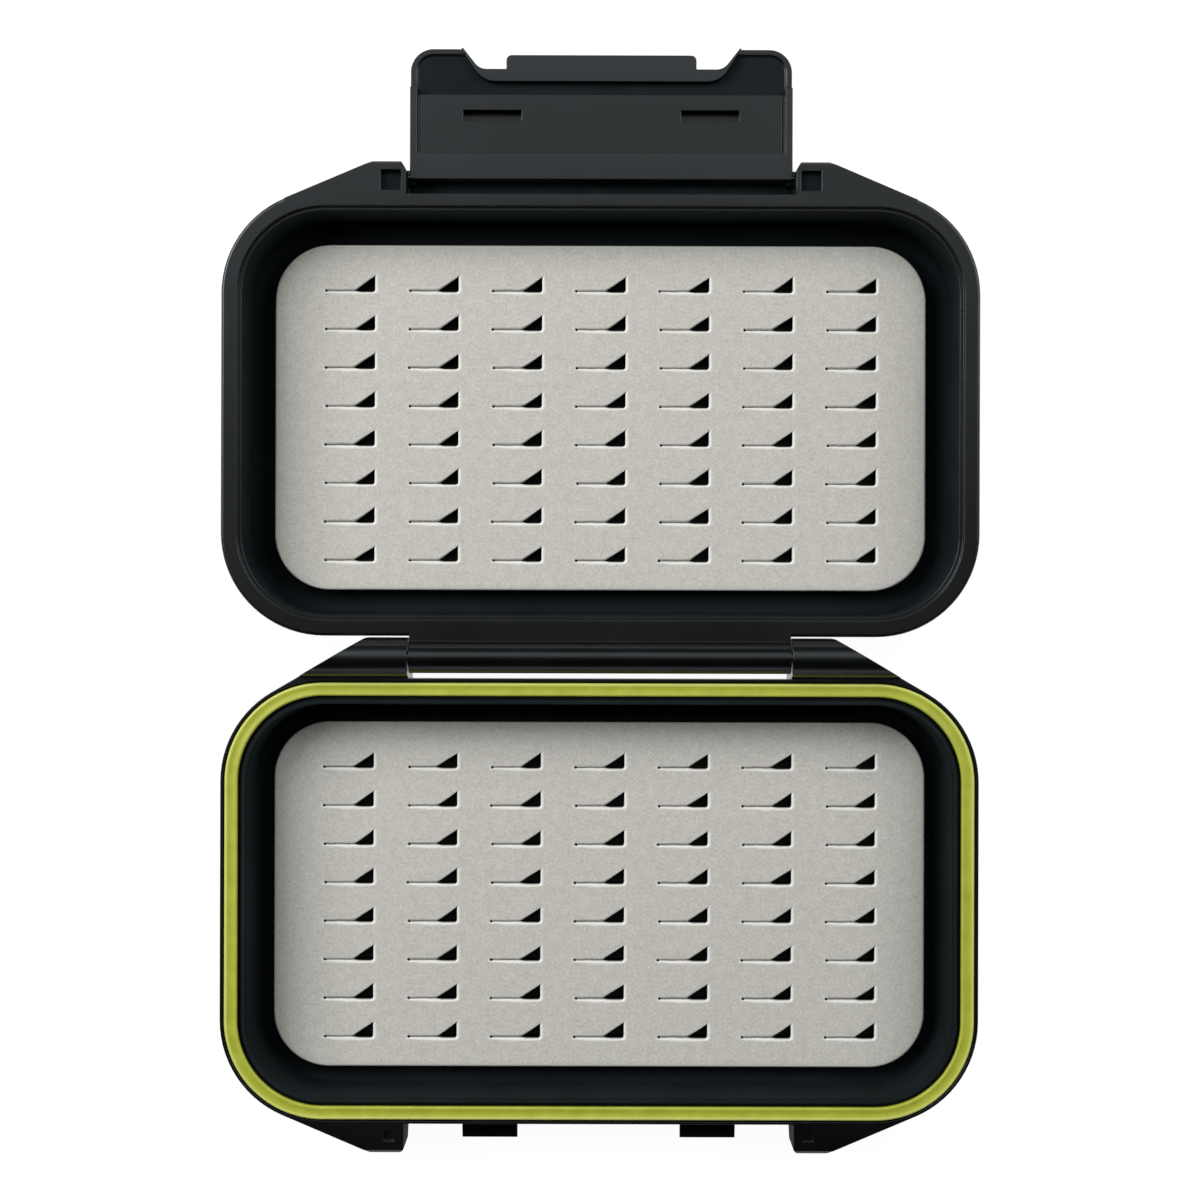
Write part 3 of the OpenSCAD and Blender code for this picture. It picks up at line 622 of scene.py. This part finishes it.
# %% Where the finishes lie
TRAY_WALL, TRAY_FLOOR = 3.1 * MM, 1.5 * MM
LID_Y = 80.4 * MM
LUG_SIDE, LUG_NEAR, LUG_START = 32.6 * MM, 0.8 * MM, 2.5 * MM
POCKET_Z, POCKET_START = 16 * MM, 1 * MM
PANEL_Z, FRAME_RISE, LIP_DROP = 13.5 * MM, 0.3 * MM, 0.2 * MM
EAR_Z, FOOT_Z = 11.8 * MM, 10.9 * MM
FOOT_Y, EAR_Y = 119.5 * MM, 133 * MM
LEVEL, FINE_LEVEL = 0.1 * MM, 0.05 * MM


def level_with(place, height, slack):
    """True where a point lies less than `slack` above or below a height."""
    return np.abs(place[:, 2] - height) < slack


def in_tray(place, middle_y):
    """True where a point lies more than TRAY_WALL inside a shell's rounded outline and above its floor. The
    inset is the corner's radius less the distance from the rectangle that the corners' centres span."""
    past = np.abs(place[:, :2] - [0, middle_y]) - (np.array(SHELL_SIZE) / 2 - SHELL_CORNER)
    beyond = np.linalg.norm(np.maximum(past, 0), axis=-1) + np.minimum(past.max(axis=-1), 0)
    return (SHELL_CORNER - beyond > TRAY_WALL) & (place[:, 2] > TRAY_FLOOR)


def in_lug(place, middle_y):
    """True at the sides of the lugs that face each other, which start inside the shell's wall."""
    beside = np.abs(np.abs(place[:, 0]) - LUG_SIDE) < LUG_NEAR
    return beside & (np.abs(place[:, 1] - middle_y) > SHELL_SIZE[1] / 2 - LUG_START)


def matt_painted_light_in_base(place):
    """True in the base's tray and between its lugs."""
    return in_tray(place, 0) | in_lug(place, 0) & (place[:, 1] < 0)


def matt_painted_light_in_lid(place):
    """True in the lid's tray, between its lugs and on the floors of their square pockets."""
    front = place[:, 1] > LID_Y + SHELL_SIZE[1] / 2 - POCKET_START
    pocket = level_with(place, POCKET_Z, FINE_LEVEL) & front
    return in_tray(place, LID_Y) | in_lug(place, LID_Y) & (place[:, 1] > LID_Y) | pocket


def matt_painted_light_on_latch(place):
    """True on the latch's low face beyond its main panel, and on the foot behind its heel."""
    ear = level_with(place, EAR_Z, LEVEL) & (place[:, 1] > EAR_Y)
    foot = level_with(place, FOOT_Z, LEVEL) & (place[:, 1] < FOOT_Y)
    return ear | foot


def rubbed_on_latch(place):
    """True on the frame round the latch's main panel, which stands above it, and on its lip."""
    lip = level_with(place, PANEL_Z - LIP_DROP, FINE_LEVEL) & (place[:, 1] > EAR_Y)
    return (place[:, 2] > PANEL_Z + FRAME_RISE) | lip


print("middle of the lid's tray is matt:", bool(matt_painted_light_in_lid(np.array([[0, LID_Y, 2 * TRAY_FLOOR]]))[0]))

# %% [markdown]
# A face takes a finish only if all its corners lie where that finish does. A test of the face's middle would
# also catch the rims, which are rings with their middle in the tray.

# %% Moulded shells
MOULD_EDGE = 0.12 * MM
BEVEL_FROM = math.radians(28)
WELD = 0.02 * MM
FLAT_WITHIN = math.radians(0.5)


def welded_copy(node, name):
    """A copy of a CAD node's mesh: loose triangles welded, flat faces joined and all shaded smooth."""
    work = bmesh.new()
    work.from_mesh(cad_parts[node].data)
    bmesh.ops.remove_doubles(work, verts=work.verts, dist=WELD)
    bmesh.ops.dissolve_degenerate(work, dist=WELD, edges=work.edges)
    bmesh.ops.dissolve_limit(work, angle_limit=FLAT_WITHIN, verts=work.verts, edges=work.edges)
    mesh = bpy.data.meshes.new(name)
    work.to_mesh(mesh)
    work.free()
    mesh.polygons.foreach_set("use_smooth", np.ones(len(mesh.polygons), dtype=bool))
    return mesh


def finish_faces(mesh, finishes):
    """The grained finish on every face, then each of `finishes`, pairs of a material and the function that
    picks its place, over it. Gives how many faces each finish has."""
    mesh.materials.append(grained_abs)
    place, corner = np.zeros(3 * len(mesh.vertices)), np.zeros(len(mesh.loops), dtype=np.int32)
    first = np.zeros(len(mesh.polygons), dtype=np.int32)
    mesh.vertices.foreach_get("co", place)
    mesh.loops.foreach_get("vertex_index", corner)
    mesh.polygons.foreach_get("loop_start", first)
    which = np.zeros(len(mesh.polygons), dtype=np.int32)
    for finish, picks in finishes:
        mesh.materials.append(finish)
        which[np.logical_and.reduceat(picks(place.reshape(-1, 3))[corner], first)] = len(mesh.materials) - 1
    mesh.polygons.foreach_set("material_index", which)
    return np.bincount(which)


def moulded(node, name, body, finishes):
    """A finished copy of a CAD node in the node's place, with its edges rounded by MOULD_EDGE."""
    mesh = welded_copy(node, name)
    counts = finish_faces(mesh, finishes)
    piece = bpy.data.objects.new(name, mesh)
    bpy.context.scene.collection.objects.link(piece)
    bevel = piece.modifiers.new("mould_edge", "BEVEL")
    bevel.width = MOULD_EDGE
    bevel.segments = 2
    bevel.limit_method = "ANGLE"
    bevel.angle_limit = BEVEL_FROM
    bevel.use_clamp_overlap = False
    piece.modifiers.new("flat_faces", "WEIGHTED_NORMAL").keep_sharp = True
    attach(piece, body)
    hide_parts(node)
    print(name, "faces before the bevel, by finish:", counts.tolist())


moulded("base_shell", "base_shell_moulding", "base", [(matt_painted_light_abs, matt_painted_light_in_base)])
moulded("lid_shell", "lid_shell_moulding", "lid", [(matt_painted_light_abs, matt_painted_light_in_lid)])
moulded("latch", "latch_moulding", "latch", [(matt_painted_light_abs, matt_painted_light_on_latch), (rubbed_abs, rubbed_on_latch)])

# %% [markdown]
# ## Pin and film
#
# These two are right as they are in the construction model, so they keep their own meshes and only take a
# finish. A CAD node's mesh is never changed: the finish goes into the slots of its object.

# %% Finishes on the nodes that stay
for node, finish in (("hinge_pin", steel), ("base_foam_tape", film), ("lid_foam_tape", film)):
    for material_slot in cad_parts[node].material_slots:
        material_slot.material = finish
    print(node, "takes", finish.name)

# %% [markdown]
# ## Floor
#
# The box lies on a white sweep. To the camera, and in reflections, the floor glows almost white by itself,
# and a thin share of plain diffuse keeps the box's soft shadow on it. It is wide, so that low views don't
# see its far edge.

# %% Floor
FLOOR_HALF = 6
GLOW_NEAR, GLOW_FAR = 0.96, 1.0
GLOW_RISES, GLOW_FULL = 0.25, 0.9


def white_sweep():
    """White paper: diffuse to the light, nearly white to the eye, and fully white far from the box."""
    material, tree, place = blank_material("white_paper_sweep")
    ray = add_node(tree, "ShaderNodeLightPath")
    eye = add_node(tree, "ShaderNodeMath", {0: ray.outputs["Is Camera Ray"], 1: ray.outputs["Is Glossy Ray"]},
                   operation="MAXIMUM")
    seen = add_node(tree, "ShaderNodeMath", {0: eye.outputs["Value"], 1: ray.outputs["Is Transmission Ray"]},
                    operation="MAXIMUM")
    far = add_node(tree, "ShaderNodeVectorMath", {0: place}, operation="LENGTH")
    glow = add_node(tree, "ShaderNodeMapRange", {
        "Value": far.outputs["Value"], "From Min": GLOW_RISES, "From Max": GLOW_FULL,
        "To Min": GLOW_NEAR, "To Max": GLOW_FAR,
    })
    light = add_node(tree, "ShaderNodeEmission", {"Strength": glow.outputs["Result"]})
    veil = add_node(tree, "ShaderNodeBsdfDiffuse", {"Color": linear("#5E5E5E")})
    bright = add_node(tree, "ShaderNodeAddShader", {0: light.outputs["Emission"], 1: veil.outputs["BSDF"]})
    paper = add_node(tree, "ShaderNodeBsdfDiffuse", {"Color": linear("#E6E6E4")})
    surface = add_node(tree, "ShaderNodeMixShader", {0: seen.outputs["Value"], 1: paper.outputs["BSDF"],
                                                     2: bright.outputs["Shader"]})
    add_node(tree, "ShaderNodeOutputMaterial", {"Surface": surface.outputs["Shader"]})
    return material


floor_mesh = bpy.data.meshes.new("floor")
corners = np.array([[-1, -1, 0], [1, -1, 0], [1, 1, 0], [-1, 1, 0]]) * FLOOR_HALF
floor_mesh.from_pydata(corners.tolist(), [], [[0, 1, 2, 3]])
floor_mesh.materials.append(white_sweep())
floor = bpy.data.objects.new("floor", floor_mesh)
bpy.context.scene.collection.objects.link(floor)
print("floor", 2 * FLOOR_HALF, "m wide")

# %% [markdown]
# ## Light tent
#
# The black plastic tells what hangs round the box: the latch mirrors something pale, the rims less, and the
# near lugs nothing. That is a strip of silk a little beyond the box, which fades out overhead and at its
# ends. A wider silk lit the foam too much from that side. Low down a dimmer wall goes all the way round.
# Both are drawn as the world's brightness by direction.

# %% Light tent
WALL_LIGHT, WALL_TOP, WALL_END = 0.8, 0.2, 0.35
SILK_LIGHT, SILK_START, SILK_FULL = 1.2, 0.02, 0.27
SILK_FADES, SILK_ENDS, SILK_SIDES, SILK_WIDEST = 0.5, 0.7, 0.33, 0.5


def light_tent():
    """The world: the brighter of wall and silk. The silk is as bright as the lowest of three ramps, which
    limit its near edge, its far edge and its two ends."""
    tent = bpy.data.worlds.new("light_tent")
    tent.use_nodes = True
    tree = tent.node_tree
    tree.nodes.clear()
    sky = add_node(tree, "ShaderNodeTexCoord")
    toward = add_node(tree, "ShaderNodeSeparateXYZ", {"Vector": sky.outputs["Generated"]})
    wall = add_node(tree, "ShaderNodeMapRange", {
        "Value": toward.outputs["Z"], "From Min": WALL_TOP, "From Max": WALL_END,
        "To Min": WALL_LIGHT, "To Max": 0.0,
    })
    near = add_node(tree, "ShaderNodeMapRange", {
        "Value": toward.outputs["Y"], "From Min": SILK_START, "From Max": SILK_FULL,
        "To Min": 0.0, "To Max": SILK_LIGHT,
    })
    far = add_node(tree, "ShaderNodeMapRange", {
        "Value": toward.outputs["Y"], "From Min": SILK_FADES, "From Max": SILK_ENDS,
        "To Min": SILK_LIGHT, "To Max": 0.0,
    })
    aside = add_node(tree, "ShaderNodeMath", {0: toward.outputs["X"]}, operation="ABSOLUTE")
    ends = add_node(tree, "ShaderNodeMapRange", {
        "Value": aside.outputs["Value"], "From Min": SILK_SIDES, "From Max": SILK_WIDEST,
        "To Min": SILK_LIGHT, "To Max": 0.0,
    })
    strip = add_node(tree, "ShaderNodeMath", {0: near.outputs["Result"], 1: far.outputs["Result"]},
                     operation="MINIMUM")
    silk = add_node(tree, "ShaderNodeMath", {0: strip.outputs["Value"], 1: ends.outputs["Result"]},
                    operation="MINIMUM")
    light = add_node(tree, "ShaderNodeMath", {0: wall.outputs["Result"], 1: silk.outputs["Value"]},
                     operation="MAXIMUM")
    background = add_node(tree, "ShaderNodeBackground", {"Color": linear("#FFFFFF"),
                                                         "Strength": light.outputs["Value"]})
    add_node(tree, "ShaderNodeOutputWorld", {"Surface": background.outputs["Background"]})
    return tent


bpy.context.scene.world = light_tent()
print("light tent:", WALL_LIGHT, "on the wall,", SILK_LIGHT, "on the silk")

# %% [markdown]
# ## Lamps
#
# The foam's shading tells where the light comes from: it is darkest along the left walls, then along the far
# ones, and hardly darker along the near ones. So the key is a large soft lamp high on the left and a little
# beyond the box, with one of about half its power in the same place on the right.

# %% Lamps
LAMP_DISTANCE, LAMP_SIZE = 0.7, 0.43


def softbox(name, direction, power):
    """A square lamp at LAMP_DISTANCE from the box's middle, in the given direction, facing it."""
    data = bpy.data.lights.new(name, "AREA")
    data.shape = "SQUARE"
    data.size = LAMP_SIZE
    data.energy = power
    lamp = bpy.data.objects.new(name, data)
    centre = (cad_box[0] + cad_box[1]) / 2
    toward = np.array(direction) / np.linalg.norm(direction)
    lamp.location = np.array(centre) + toward * LAMP_DISTANCE
    lamp.rotation_mode = "QUATERNION"
    lamp.rotation_quaternion = (centre - lamp.location).to_track_quat("-Z", "Y")
    bpy.context.scene.collection.objects.link(lamp)
    print(name, power, "W")


softbox("key_softbox", (-0.75, 0.42, 0.8), power=4.2)
softbox("fill_softbox", (0.75, 0.42, 0.8), power=2.0)

# %% [markdown]
# ## View transform
#
# The view transform is Standard, so that a colour renders as it was written.

# %% View transform
bpy.context.scene.view_settings.view_transform = "Standard"
